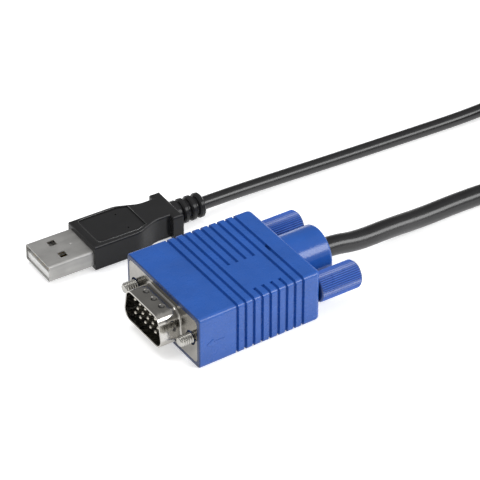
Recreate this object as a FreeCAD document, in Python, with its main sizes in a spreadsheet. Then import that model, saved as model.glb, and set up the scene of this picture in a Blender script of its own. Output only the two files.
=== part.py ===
import FreeCAD, Part
import Sketcher
import math
import os
import re

# Driving sizes in millimetres. The part's origin is the middle of the two jackscrews
# on the connector's mating face: +X runs towards the cords, +Y towards the USB plug, +Z up.
SIZES = {
    # Moulded hood of the video plug
    "axis_height": 7.2,
    "hood_front_width": 32.7,
    "hood_rear_width": 31.3,
    "hood_height": 14.4,
    "hood_length": 35.0,
    "hood_edge_radius": 1.0,
    "hood_corner_radius": 1.4,
    "hood_front_radius": 0.4,
    "groove_first": 10.8,
    "groove_pitch": 2.37,
    "groove_width": 0.9,
    "groove_floor": 0.4,
    "groove_depth": 0.6,
    "groove_count": 9,
    "panel_offset": 1.5,
    "panel_width": 10.8,
    "slot_length": 2.2,
    "slot_depth": 1.6,
    "sleeve_diameter": 13.4,
    "sleeve_length": 9.9,
    "sleeve_rise": 0.35,
    "sleeve_edge_radius": 0.8,
    # Metal shells, insulator and pins of the video plug
    "fit": 0.05,
    "flange_width": 30.6,
    "flange_height": 12.0,
    "flange_thickness": 0.5,
    "flange_radius": 1.2,
    "flange_hole": 3.8,
    "shroud_width": 17.8,
    "shroud_height": 9.1,
    "shroud_slope": 0.176,
    "shroud_reach": 5.7,
    "shroud_wall": 0.42,
    "shroud_radius": 2.6,
    "shroud_root_radius": 0.5,
    "dimple_place": 2.4,
    "dimple_spacing": 3.5,
    "dimple_radius": 1.2,
    "dimple_depth": 0.4,
    "back_shell_width": 20.0,
    "back_shell_height": 10.0,
    "back_shell_wall": 0.4,
    "back_shell_length": 7.5,
    "insulator_nose": 0.8,
    "insulator_length": 7.5,
    "pin_diameter": 0.8,
    "pin_tip": 0.25,
    "pin_reach": 4.8,
    "pin_tail": 2.0,
    "pin_pitch": 2.29,
    "row_pitch": 1.98,
    "tail_pocket_width": 14.0,
    "tail_pocket_height": 7.0,
    "tail_pocket_depth": 2.5,
    "inner_mould_length": 18.5,
    "inner_neck_diameter": 8.6,
    "inner_neck_length": 9.0,
    # Captive thumbscrews
    "screw_spacing": 24.99,
    "screw_diameter": 2.84,
    "screw_reach": 3.4,
    "shank_diameter": 2.4,
    "screw_tip": 0.4,
    "screw_grip": 8.5,
    "running_clearance": 0.08,
    "knob_gap": 0.3,
    "knob_diameter": 7.3,
    "knob_length": 12.1,
    "knob_edge": 0.8,
    "knurl_depth": 0.24,
    "knurl_count": 40,
    # USB plug
    "usb_tip_offset": -13.1,
    "usb_side_offset": 37.6,
    "usb_turn": 1.0,
    "usb_shell_width": 12.0,
    "usb_shell_height": 4.5,
    "usb_shell_wall": 0.3,
    "usb_shell_reach": 12.5,
    "usb_shell_drop": 0.3,
    "usb_shell_grip": 6.75,
    "usb_window_length": 2.0,
    "usb_window_width": 2.1,
    "usb_window_place": 4.6,
    "usb_window_spacing": 5.5,
    "usb_dent_place": 9.3,
    "usb_dent_radius": 0.8,
    "usb_dent_depth": 0.14,
    "usb_tongue_height": 1.9,
    "usb_tongue_recess": 0.4,
    "usb_contact_pitch": 2.25,
    "usb_contact_width": 1.1,
    "usb_contact_length": 8.0,
    "usb_contact_height": 0.25,
    "usb_contact_recess": 1.2,
    "usb_mould_width": 13.4,
    "usb_mould_height": 7.4,
    "usb_mould_block": 13.1,
    "usb_mould_shoulder": 5.7,
    "usb_mould_waist": 4.2,
    "usb_waist_width": 8.6,
    "usb_wing_length": 3.0,
    "usb_wing_width": 12.0,
    "usb_shoulder_radius": 7.0,
    "usb_mould_edge": 0.8,
    "usb_panel_margin": 1.1,
    "usb_panel_front": 1.8,
    "usb_panel_rear_width": 9.4,
    "usb_panel_depth": 0.3,
    "usb_pinhole": 0.5,
    "usb_pinhole_place": 11.6,
    "usb_pinhole_spacing": 6.5,
    "usb_core_length": 12.0,
    "usb_core_width": 6.0,
    "usb_core_height": 4.0,
    "boot_diameter": 6.6,
    "boot_collar": 1.4,
    "boot_rib": 1.5,
    "boot_gap": 0.85,
    "boot_gap_depth": 0.9,
    "boot_rib_edge": 0.35,
    "boot_rib_count": 3,
    # Cords, coils and ties
    "vga_cord_diameter": 5.2,
    "usb_cord_diameter": 3.5,
    "coil_lift": 0.75,
    "vga_coil_place": 158.0,
    "vga_coil_side": 5.0,
    "vga_coil_radius": 27.0,
    "vga_coil_entry": -120.0,
    "usb_coil_place": 213.0,
    "usb_coil_side": 20.25,
    "usb_coil_radius": 19.0,
    "tie_length": 5.0,
    "tie_thickness": 0.7,
    "tie_clearance": 0.35,
    # Adapter box
    "case_place": 256.0,
    "case_side": 15.5,
    "case_length": 82.0,
    "case_width": 66.0,
    "case_height": 20.0,
    "case_lower_height": 7.3,
    "case_wall": 2.0,
    "case_corner_radius": 5.0,
    "case_edge_radius": 1.5,
    "case_joint_gap": 0.1,
    "foot_diameter": 9.0,
    "foot_height": 1.2,
    "foot_inset": 18.0,
    "boss_diameter": 6.0,
    "boss_inset": 9.0,
    "case_screw_diameter": 2.4,
    "case_screw_head": 4.4,
    "case_screw_head_height": 1.6,
    "case_screw_length": 11.0,
    "board_thickness": 1.6,
    "board_margin": 1.2,
    "board_seat": 2.4,
    "chip_size": 14.0,
    "chip_height": 1.4,
    "small_chip_size": 7.0,
    "socket_width": 7.7,
    "socket_height": 4.0,
    "socket_length": 9.2,
    "socket_wall": 0.35,
    "gland_inset": 10.0,
    "gland_boot_length": 8.0,
    "gland_tip_wall": 0.9,
    "gland_root_wall": 2.0,
    "gland_neck_wall": 1.2,
    "gland_flange_wall": 2.2,
    "gland_flange_length": 1.5,
}

# Routes of the cords above the resting surface, chosen by hand: along, across, up.
# Their ends follow from the plugs, the coils and the glands.
VGA_LEAD_ROUTE = [
    (48.2, 0.0, 7.55),
    (56.0, -0.1, 5.6),
    (67.0, 0.8, 4.95),
    (78.0, 2.4, 2.9),
    (90.0, 3.0, 2.65),
    (104.0, 2.2, 2.7),
]
VGA_TAIL_ROUTE = [(207.0, -17.4, 8.2)]
USB_LEAD_ROUTE = [
    (55.0, 37.8, 2.2),
    (76.0, 37.1, 1.76),
    (98.0, 35.9, 1.8),
    (120.0, 34.9, 1.76),
    (140.0, 36.8, 1.8),
    (160.0, 40.0, 2.1),
]

doc = FreeCAD.newDocument("crash_cart_adapter")
sheet = doc.addObject("Spreadsheet::Sheet", "Sizes")
for row, (alias, value) in enumerate(SIZES.items(), start=1):
    sheet.set(f"A{row}", alias)
    sheet.set(f"B{row}", str(value))
    sheet.setAlias(f"B{row}", alias)
doc.recompute()

vector = FreeCAD.Vector
nodes = []


def size(name):
    return float(sheet.get(name))


def formula(text):
    """An expression in which each size's name points at its cell."""
    return re.sub("[a-z_]+", lambda word: f"Sizes.{word[0]}" if word[0] in SIZES else word[0], text)


def bind(item, **formulas):
    for path, text in formulas.items():
        item.setExpression(path, formula(text))
    return item


def place(item, along="0", across="0", up="0"):
    for axis, text in zip("xyz", (along, across, up)):
        item.setExpression(f"Placement.Base.{axis}", formula(text))
    return item


def node(label, item):
    """Names a finished sub-part."""
    item.Label = label
    nodes.append(item)
    return item


# Forms


def box(name, length, width, height, along="0", across="0", up="0"):
    """A block from its low end, centred across and in height."""
    item = bind(doc.addObject("Part::Box", name), Length=length, Width=width, Height=height)
    return place(item, along, f"({across}) - ({width}) / 2", f"({up}) - ({height}) / 2")


def rod(name, diameter, length, along="0", across="0", up="0"):
    """A round bar along X, from its low end."""
    item = bind(doc.addObject("Part::Cylinder", name), Radius=f"({diameter}) / 2", Height=length)
    item.Placement = FreeCAD.Placement(vector(), FreeCAD.Rotation(vector(0, 1, 0), 90))
    return place(item, along, across, up)


def post(name, diameter, height, along="0", across="0", up="0"):
    """A round bar along Z, from its foot."""
    item = bind(doc.addObject("Part::Cylinder", name), Radius=f"({diameter}) / 2", Height=height)
    return place(item, along, across, up)


def join(name, *pieces):
    item = doc.addObject("Part::MultiFuse", name)
    item.Shapes = list(pieces)
    return item


def cut(name, base, *tools):
    for number, tool in enumerate(tools, start=1):
        item = doc.addObject("Part::Cut", f"{name}_{number}")
        item.Base = base
        item.Tool = tool
        base = item
    return base


def shared(name, *pieces):
    """What the pieces have in common."""
    item = doc.addObject("Part::MultiCommon", name)
    item.Shapes = list(pieces)
    return item


def group(name, pieces):
    item = doc.addObject("Part::Compound", name)
    item.Links = list(pieces)
    return item


def rounded(name, base, radius, chosen, kind="Fillet"):
    """The base with the chosen edges rounded or, as a Chamfer, cut off at a slant."""
    doc.recompute()
    item = doc.addObject(f"Part::{kind}", name)
    item.Base = base
    edges = [i for i, edge in enumerate(base.Shape.Edges, start=1) if chosen(edge)]
    item.Edges = [(i, radius, radius) for i in edges]
    return item


def runs_along(edge, axis):
    ends = [v.Point for v in edge.Vertexes]
    if len(ends) < 2:
        return False
    way = (ends[1] - ends[0]).normalize()
    return abs(way.dot(vector(*axis))) > 0.999


def plate(name, length, width, height, radius, along="0", across="0", up="0"):
    """A block whose four edges along X are rounded."""
    block = box(f"{name}_block", length, width, height, along, across, up)
    return rounded(name, block, size(radius), lambda edge: runs_along(edge, (1, 0, 0)))


def outline(body, role, points):
    """A closed outline on one of the body's planes, each corner bound to the sheet."""
    sketch = body.newObject("Sketcher::SketchObject", f"{body.Name}_sketch")
    plane = next(item for item in body.Origin.OriginFeatures if item.Role == role)
    sketch.AttachmentSupport = [(plane, "")]
    sketch.MapMode = "FlatFace"
    count = len(points)
    turns = [2 * math.pi * i / count for i in range(count)]
    start = [vector(math.cos(turn), math.sin(turn), 0) for turn in turns]
    sketch.addGeometry([Part.LineSegment(start[i - 1], start[i]) for i in range(count)], False)
    sketch.addConstraint([Sketcher.Constraint("Coincident", i - 1, 2, i, 1) for i in range(1, count)])
    sketch.addConstraint(Sketcher.Constraint("Coincident", count - 1, 2, 0, 1))
    spans = []
    texts = []
    for i, corner in enumerate(points):
        spans.append(Sketcher.Constraint("DistanceX", -1, 1, i, 1, start[i - 1].x))
        spans.append(Sketcher.Constraint("DistanceY", -1, 1, i, 1, start[i - 1].y))
        texts += corner
    sketch.addConstraint(spans)
    for index, text in enumerate(texts, start=count):
        sketch.setExpression(f"Constraints[{index}]", formula(text))
    return sketch


def prism(name, role, points, length):
    body = doc.addObject("PartDesign::Body", name)
    pad = body.newObject("PartDesign::Pad", f"{name}_pad")
    pad.Profile = outline(body, role, points)
    bind(pad, Length=length)
    return body


def turned(name, points):
    """A body of revolution about X from an outline of (along, radius) corners."""
    body = doc.addObject("PartDesign::Body", name)
    sketch = outline(body, "XY_Plane", points)
    spin = body.newObject("PartDesign::Revolution", f"{name}_spin")
    spin.Profile = sketch
    spin.ReferenceAxis = (sketch, ["H_Axis"])
    spin.Angle = 360
    return body


def soften(body, radius, chosen):
    """Rounds the chosen edges of a body's last feature."""
    doc.recompute()
    base = body.Tip
    feature = body.newObject("PartDesign::Fillet", f"{body.Name}_fillet")
    feature.Base = (base, [f"Edge{i}" for i, e in enumerate(base.Shape.Edges, start=1) if chosen(e)])
    bind(feature, Radius=radius)
    return body


# Video plug


def hood_block():
    """The hood's tapered block with rounded edges."""
    corners = [
        ("0", "hood_front_width / 2"),
        ("hood_length", "hood_rear_width / 2"),
        ("hood_length", "-hood_rear_width / 2"),
        ("0", "-hood_front_width / 2"),
    ]
    body = prism("hood_block", "XY_Plane", corners, "hood_height")
    place(body, up="-axis_height")
    middle = size("hood_length") / 2
    soften(
        body,
        "hood_corner_radius",
        lambda edge: runs_along(edge, (0, 0, 1)) and edge.CenterOfMass.x > middle,
    )
    soften(
        body,
        "hood_edge_radius",
        lambda edge: edge.BoundBox.ZLength < 1e-6 and edge.BoundBox.XMax > middle,
    )
    soften(body, "hood_front_radius", lambda edge: edge.BoundBox.XMax < 1e-6)
    return body


def hood_half(along):
    """Half the hood's width at a place along it."""
    return f"(hood_front_width - ({along}) * (hood_front_width - hood_rear_width) / hood_length) / 2"


def hood_top(along):
    return "hood_height - axis_height"


def notched(edge):
    """One side of an outline that lies outside the hood and dips into it at every groove."""
    corners = [("-hood_edge_radius", f"{edge('-hood_edge_radius')} + groove_depth")]
    for i in range(int(size("groove_count"))):
        middle = f"groove_first + {i} * groove_pitch"
        for shift, rise in (
            ("- (groove_width - groove_floor / 2)", "+ groove_depth"),
            ("- groove_floor / 2", "- groove_depth"),
            ("+ groove_floor / 2", "- groove_depth"),
            ("+ (groove_width - groove_floor / 2)", "+ groove_depth"),
        ):
            along = f"{middle} {shift}"
            corners.append((along, f"{edge(along)} {rise}"))
    end = "hood_length + hood_edge_radius"
    return corners + [(end, f"{edge(end)} + groove_depth")]


def ribbed_block():
    """The hood's block with its grooves, which run right round it."""
    side = notched(hood_half)
    plan = prism(
        "hood_plan",
        "XY_Plane",
        side + [(along, f"-({across})") for along, across in reversed(side)],
        "2 * hood_height",
    )
    place(plan, up="-hood_height")
    top = notched(hood_top)
    profile = prism(
        "hood_profile",
        "XZ_Plane",
        top + [(along, f"hood_height - 2 * axis_height - ({up})") for along, up in reversed(top)],
        "2 * hood_front_width",
    )
    place(profile, across="hood_front_width")
    return shared("hood_ribs", hood_block(), plan, profile)


def jackscrew_rods(name, diameter, length, along):
    return group(
        name,
        [
            rod(f"{name}_{side}", diameter, length, along, f"{sign} * screw_spacing / 2")
            for side, sign in (("left", 1), ("right", -1))
        ],
    )


def hood():
    panel = box(
        "hood_panel",
        "4 * groove_pitch",
        "panel_width",
        "2 * groove_depth",
        "groove_first + 2.5 * groove_pitch",
        "-panel_offset - panel_width / 2",
        "hood_height - axis_height - groove_depth",
    )
    sleeve_bar = rod(
        "sleeve_bar",
        "sleeve_diameter",
        "sleeve_length + hood_edge_radius",
        "hood_length - hood_edge_radius",
        up="sleeve_rise",
    )
    sleeve_end = size("hood_length") + size("sleeve_length")
    sleeve = rounded(
        "sleeve",
        sleeve_bar,
        size("sleeve_edge_radius"),
        lambda edge: edge.BoundBox.XMin > sleeve_end - 1e-3,
    )
    solid = join("hood_solid", ribbed_block(), panel, sleeve)
    slot = box(
        "hood_slot",
        "groove_width",
        "slot_length",
        "2 * slot_depth",
        "groove_first + (groove_count - 1) * groove_pitch - groove_width / 2",
        up="hood_height - axis_height",
    )
    flange_pocket = plate(
        "flange_pocket",
        "2 * flange_thickness",
        "flange_width + 2 * fit",
        "flange_height + 2 * fit",
        "flange_radius",
    )
    cavity = box(
        "hood_cavity",
        "back_shell_length + inner_mould_length",
        "back_shell_width + 2 * fit",
        "back_shell_height + 2 * fit",
        "2 * flange_thickness",
    )
    neck = rod(
        "hood_neck",
        "inner_neck_diameter + 2 * fit",
        "inner_neck_length",
        "2 * flange_thickness + back_shell_length + inner_mould_length",
        up="sleeve_rise",
    )
    cord_bore = rod(
        "hood_cord_bore", "vga_cord_diameter + 2 * fit", "hood_length + sleeve_length", up="sleeve_rise"
    )
    bores = jackscrew_rods(
        "hood_screw_bores", "shank_diameter + 2 * running_clearance", "hood_length", "0"
    )
    node("vga_hood", cut("vga_hood", solid, slot, flange_pocket, cavity, neck, cord_bore, bores))


def shroud_form(name, inset, length, end):
    """A bar of the connector's D section, drawn in by inset, that ends at a place along X."""
    slant = math.hypot(1, size("shroud_slope"))
    low = f"shroud_width / 2 - ({inset}) * ({slant:.4f} + shroud_slope)"
    high = f"shroud_width / 2 - ({inset}) * ({slant:.4f} - shroud_slope) - shroud_height * shroud_slope"
    top = f"shroud_height / 2 - ({inset})"
    corners = [(low, f"-({top})"), (high, top), (f"-({high})", top), (f"-({low})", f"-({top})")]
    body = prism(name, "YZ_Plane", corners, length)
    soften(body, f"shroud_radius - ({inset})", lambda edge: runs_along(edge, (1, 0, 0)))
    return place(body, f"({end}) - ({length})")


def dimple_balls(name, radius):
    """Three balls in a row that press the dimples into the shroud's top."""
    balls = []
    for i in (-1, 0, 1):
        ball = bind(doc.addObject("Part::Sphere", f"{name}_{i + 2}"), Radius=radius)
        place(
            ball,
            "-dimple_place",
            f"{i} * dimple_spacing",
            "shroud_height / 2 + dimple_radius - dimple_depth",
        )
        balls.append(ball)
    return group(f"{name}s", balls)


def front_shell():
    flange = plate("front_flange", "flange_thickness", "flange_width", "flange_height", "flange_radius")
    outer = shroud_form(
        "shroud_outer", "0", "shroud_reach + flange_thickness", "flange_thickness"
    )
    pressed = join("front_shell_solid", flange, outer)

    def at_root(edge):
        room = edge.BoundBox
        reach = max(abs(room.YMin), abs(room.YMax))
        on_face = abs(room.XMin) < 1e-6 and abs(room.XMax) < 1e-6
        return on_face and reach < size("shroud_width") / 2 + size("fit")

    drawn = rounded("front_shell_drawn", pressed, size("shroud_root_radius"), at_root)
    hollow = shroud_form(
        "shroud_hollow", "shroud_wall", "shroud_reach + 2 * flange_thickness", "1.5 * flange_thickness"
    )
    holes = jackscrew_rods("front_flange_holes", "flange_hole", "flange_thickness", "0")
    bumps = shared("dimple_backs", dimple_balls("dimple_back", "dimple_radius + shroud_wall"), hollow)
    sheet_form = join("front_shell_sheet", cut("front_shell_open", drawn, hollow, holes), bumps)
    shell = cut("vga_front_shell", sheet_form, dimple_balls("dimple", "dimple_radius"))
    node("vga_front_shell", shell)


def back_shell():
    flange = plate(
        "back_flange",
        "flange_thickness",
        "flange_width",
        "flange_height",
        "flange_radius",
        "flange_thickness",
    )
    walls = box(
        "back_walls",
        "back_shell_length + flange_thickness",
        "back_shell_width",
        "back_shell_height",
        "flange_thickness",
    )
    hollow = box(
        "back_hollow",
        "back_shell_length + 3 * flange_thickness",
        "back_shell_width - 2 * back_shell_wall",
        "back_shell_height - 2 * back_shell_wall",
    )
    holes = jackscrew_rods("back_flange_holes", "flange_hole", "flange_thickness", "flange_thickness")
    node("vga_back_shell", cut("vga_back_shell", join("back_shell_solid", flange, walls), hollow, holes))


def pin_places():
    """Three rows of five, the middle row half a pitch to one side."""
    for row in (-1, 0, 1):
        shift = -0.25 if row == 0 else 0.25
        for column in range(-2, 3):
            yield f"({column} + {shift}) * pin_pitch", f"{row} * row_pitch"


def insulator_and_pins():
    nose = shroud_form(
        "insulator_nose_form",
        "shroud_wall + fit",
        "insulator_nose + flange_thickness + fit",
        "flange_thickness + fit",
    )
    block = box(
        "insulator_block",
        "insulator_length",
        "back_shell_width - 2 * back_shell_wall - 2 * fit",
        "back_shell_height - 2 * back_shell_wall - 2 * fit",
        "flange_thickness",
    )
    pins = []
    holes = []
    for number, (across, up) in enumerate(pin_places(), start=1):
        length = "pin_reach + flange_thickness + insulator_length + pin_tail"
        bar = rod(
            f"pin_bar_{number}", "pin_diameter", f"{length} - pin_tip", "pin_tip - pin_reach", across, up
        )
        tip = bind(
            doc.addObject("Part::Cone", f"pin_tip_{number}"),
            Radius1="pin_diameter / 2 - pin_tip",
            Radius2="pin_diameter / 2",
            Height="pin_tip",
        )
        tip.Placement = FreeCAD.Placement(vector(), FreeCAD.Rotation(vector(0, 1, 0), 90))
        place(tip, "-pin_reach", across, up)
        pins.append(join(f"pin_{number}", bar, tip))
        holes.append(rod(f"pin_hole_{number}", "pin_diameter", length, "-pin_reach", across, up))
    solid = join("insulator_solid", nose, block)
    node("vga_insulator", cut("vga_insulator", solid, group("pin_holes", holes)))
    node("vga_pins", group("vga_pins", pins))


def inner_mould():
    front = "2 * flange_thickness + back_shell_length"
    block = box("inner_block", "inner_mould_length", "back_shell_width", "back_shell_height", front)
    neck = rod(
        "inner_neck",
        "inner_neck_diameter",
        "inner_neck_length",
        f"{front} + inner_mould_length",
        up="sleeve_rise",
    )
    pocket = box(
        "tail_pocket", "tail_pocket_depth", "tail_pocket_width", "tail_pocket_height", front
    )
    node("vga_inner_mould", cut("vga_inner_mould", join("inner_solid", block, neck), pocket))


def thumbscrew(side, sign):
    across = f"{sign} * screw_spacing / 2"
    front = "hood_length + knob_gap"
    rear = f"{front} + knob_length"
    blank = turned(
        f"{side}_knob_blank",
        [
            (front, "0"),
            (front, "knob_diameter / 2 - knob_edge / 2"),
            (f"{front} + knob_edge / 2", "knob_diameter / 2"),
            (f"{rear} - knob_edge", "knob_diameter / 2"),
            (f"{rear} - knob_edge / 4", "knob_diameter / 2 - 0.6 * knob_edge"),
            (rear, "knob_diameter / 2 - 1.4 * knob_edge"),
            (rear, "0"),
        ],
    )
    place(blank, across=across)
    count = 2 * int(size("knurl_count"))
    star = []
    for i in range(count):
        turn = 2 * math.pi * i / count
        radius = f"(knob_diameter / 2 - {i % 2} * knurl_depth)"
        star.append((f"{radius} * {math.cos(turn):.6f}", f"{radius} * {math.sin(turn):.6f}"))
    ridges = place(prism(f"{side}_knob_ridges", "YZ_Plane", star, "knob_length"), front, across)
    knurled = shared(f"{side}_knob_knurled", blank, ridges)
    bore = rod(f"{side}_knob_bore", "shank_diameter", "screw_grip", front, across)
    node(f"{side}_thumbscrew_knob", cut(f"{side}_thumbscrew_knob", knurled, bore))
    screw = turned(
        f"{side}_thumbscrew_screw",
        [
            ("-screw_reach", "0"),
            ("-screw_reach", "screw_diameter / 2 - screw_tip"),
            ("screw_tip - screw_reach", "screw_diameter / 2"),
            ("0", "screw_diameter / 2"),
            ("0", "shank_diameter / 2"),
            (f"{front} + screw_grip", "shank_diameter / 2"),
            (f"{front} + screw_grip", "0"),
        ],
    )
    node(f"{side}_thumbscrew_screw", place(screw, across=across))


# USB plug, drawn along its own axis from the tip of its metal shell


def stand_usb(item):
    """Sets a finished piece of the USB plug down beside the video plug, turned a little."""
    item.Placement = FreeCAD.Placement(vector(), FreeCAD.Rotation(vector(0, 0, -1), size("usb_turn")))
    item.setExpression("Placement.Rotation.Angle", formula("usb_turn"))
    return place(item, "usb_tip_offset", "usb_side_offset", "usb_mould_height / 2 - axis_height")


def usb_shell():
    length = "usb_shell_reach + usb_shell_grip"
    outer = box("usb_shell_outer", length, "usb_shell_width", "usb_shell_height", up="-usb_shell_drop")
    edge_radius = 2 * size("usb_shell_wall")
    bent = rounded("usb_shell_bent", outer, edge_radius, lambda edge: runs_along(edge, (1, 0, 0)))
    hollow = box(
        "usb_shell_hollow",
        length,
        "usb_shell_width - 2 * usb_shell_wall",
        "usb_shell_height - 2 * usb_shell_wall",
        up="-usb_shell_drop",
    )
    windows = group(
        "usb_windows",
        [
            box(
                f"usb_window_{side}",
                "usb_window_length",
                "usb_window_width",
                "2 * usb_shell_height",
                "usb_window_place",
                f"{sign} * usb_window_spacing / 2",
            )
            for side, sign in (("left", 1), ("right", -1))
        ],
    )
    dent = bind(doc.addObject("Part::Sphere", "usb_dent"), Radius="usb_dent_radius")
    top = "usb_shell_height / 2 - usb_shell_drop"
    place(dent, "usb_dent_place", up=f"{top} + usb_dent_radius - usb_dent_depth")
    node("usb_shell", stand_usb(cut("usb_shell", bent, hollow, windows, dent)))


def usb_insides():
    floor = "usb_shell_wall - usb_shell_height / 2 - usb_shell_drop"
    tongue = box(
        "usb_tongue_bar",
        "usb_shell_reach + usb_shell_grip - usb_tongue_recess",
        "usb_shell_width - 2 * usb_shell_wall",
        "usb_tongue_height",
        "usb_tongue_recess",
        up=f"{floor} + usb_tongue_height / 2",
    )
    node("usb_tongue", stand_usb(group("usb_tongue", [tongue])))
    contacts = [
        box(
            f"usb_contact_{i + 1}",
            "usb_contact_length",
            "usb_contact_width",
            "usb_contact_height",
            "usb_contact_recess",
            f"{i - 1.5} * usb_contact_pitch",
            f"{floor} + usb_tongue_height + usb_contact_height / 2",
        )
        for i in range(4)
    ]
    node("usb_contacts", stand_usb(group("usb_contacts", contacts)))
    core = box(
        "usb_core",
        "usb_core_length",
        "usb_core_width",
        "usb_core_height",
        "usb_shell_reach + usb_shell_grip",
    )
    node("usb_inner_mould", stand_usb(group("usb_inner_mould", [core])))


def usb_overmould():
    front = "usb_shell_reach"
    shoulder = f"{front} + usb_mould_block"
    waist = f"{shoulder} + usb_mould_shoulder"
    wing = f"{waist} + usb_mould_waist"
    rear = f"{wing} + usb_wing_length"
    half = [
        (front, "usb_mould_width / 2"),
        (shoulder, "usb_mould_width / 2"),
        (waist, "usb_waist_width / 2"),
        (wing, "usb_waist_width / 2"),
        (wing, "usb_wing_width / 2"),
        (rear, "usb_wing_width / 2"),
    ]
    corners = half + [(along, f"-{across}") for along, across in reversed(half)]
    body = prism("usb_grip", "XY_Plane", corners, "usb_mould_height")
    place(body, up="-usb_mould_height / 2")
    start = size("usb_shell_reach") + size("usb_mould_block")
    bends = (start, start + size("usb_mould_shoulder"))
    soften(
        body,
        "usb_shoulder_radius",
        lambda edge: runs_along(edge, (0, 0, 1)) and any(abs(edge.CenterOfMass.x - b) < 1e-3 for b in bends),
    )
    soften(body, "usb_mould_edge", lambda edge: edge.BoundBox.ZLength < 1e-6)
    ribs = [(rear, "0"), (rear, "boot_diameter / 2"), (f"{rear} + boot_collar", "boot_diameter / 2")]
    for i in range(int(size("boot_rib_count"))):
        low = f"{rear} + boot_collar + {i} * (boot_gap + boot_rib)"
        ribs += [
            (low, "boot_diameter / 2 - boot_gap_depth"),
            (f"{low} + boot_gap", "boot_diameter / 2 - boot_gap_depth"),
            (f"{low} + boot_gap", "boot_diameter / 2 - boot_rib_edge"),
            (f"{low} + boot_gap + boot_rib_edge", "boot_diameter / 2"),
            (f"{low} + boot_gap + boot_rib - boot_rib_edge", "boot_diameter / 2"),
            (f"{low} + boot_gap + boot_rib", "boot_diameter / 2 - boot_rib_edge"),
        ]
    end = f"{rear} + boot_collar + boot_rib_count * (boot_gap + boot_rib)"
    ribs.append((end, "0"))
    boot = turned("usb_boot", ribs)
    panel_front = f"{front} + usb_panel_front"
    panel_rear = f"{shoulder} + usb_mould_shoulder / 2"
    edge = [
        (panel_front, "usb_mould_width / 2 - usb_panel_margin"),
        (shoulder, "usb_mould_width / 2 - usb_panel_margin"),
        (panel_rear, "usb_panel_rear_width / 2"),
    ]
    panel = prism(
        "usb_panel",
        "XY_Plane",
        edge + [(along, f"-({across})") for along, across in reversed(edge)],
        "2 * usb_panel_depth",
    )
    place(panel, up="usb_mould_height / 2 - usb_panel_depth")
    panel_start = size("usb_shell_reach") + size("usb_panel_front")
    soften(
        panel,
        "usb_panel_margin",
        lambda item: runs_along(item, (0, 0, 1)) and item.CenterOfMass.x < panel_start + 1e-3,
    )
    pinholes = group(
        "usb_pinholes",
        [
            post(
                f"usb_pinhole_{side}",
                "usb_pinhole",
                "3 * usb_panel_depth",
                f"{front} + usb_pinhole_place",
                f"{sign} * usb_pinhole_spacing / 2",
                "usb_mould_height / 2 - 3 * usb_panel_depth",
            )
            for side, sign in (("left", 1), ("right", -1))
        ],
    )
    seat = box(
        "usb_seat", "usb_shell_grip", "usb_shell_width", "usb_shell_height", front, up="-usb_shell_drop"
    )
    seat_round = rounded(
        "usb_seat_round", seat, 2 * size("usb_shell_wall"), lambda edge: runs_along(edge, (1, 0, 0))
    )
    core = box(
        "usb_core_room",
        "usb_core_length",
        "usb_core_width",
        "usb_core_height",
        f"{front} + usb_shell_grip",
    )
    bore = rod(
        "usb_cord_bore",
        "usb_cord_diameter + 2 * fit",
        f"{end} - {front} - usb_shell_grip - usb_core_length",
        f"{front} + usb_shell_grip + usb_core_length",
    )
    solid = join("usb_overmould_solid", body, boot)
    node("usb_overmould", stand_usb(cut("usb_overmould", solid, panel, pinholes, seat_round, core, bore)))


# Cords and coils


def ground(points):
    """Route points measured from the resting surface, in the part's frame."""
    return [vector(x, y, z - size("axis_height")) for x, y, z in points]


def cord(label, points, diameter):
    """A round tube on straight runs with an arc at each point between them."""
    edges = []
    last = points[0]
    radii = []
    length = 0.0
    for before, corner, after in zip(points, points[1:], points[2:]):
        inward = (corner - before).normalize()
        outward = (after - corner).normalize()
        turn = inward.getAngle(outward)
        reach = 0.45 * min((corner - before).Length, (after - corner).Length)
        radii.append(reach / math.tan(turn / 2))
        first = corner - inward * reach
        second = corner + outward * reach
        towards = (outward - inward).normalize()
        centre = corner + towards * math.hypot(reach, radii[-1])
        middle = centre - towards * radii[-1]
        edges.append(Part.LineSegment(last, first).toShape())
        edges.append(Part.Arc(first, middle, second).toShape())
        length += edges[-2].Length + edges[-1].Length
        last = second
    edges.append(Part.LineSegment(last, points[-1]).toShape())
    length += edges[-1].Length
    ring = Part.makeCircle(diameter / 2, points[0], points[1] - points[0])
    shape = Part.Wire(edges).makePipeShell([Part.Wire(ring)], True, False)
    section = math.pi * diameter**2 / 4
    print(f"{label}: {length:.1f} mm, volume / (section x length) {shape.Volume / section / length:.4f}")
    print("  radii " + " ".join(f"{radius:.0f}" for radius in radii))
    item = doc.addObject("Part::Feature", label)
    item.Shape = shape
    return node(label, item)


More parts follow.
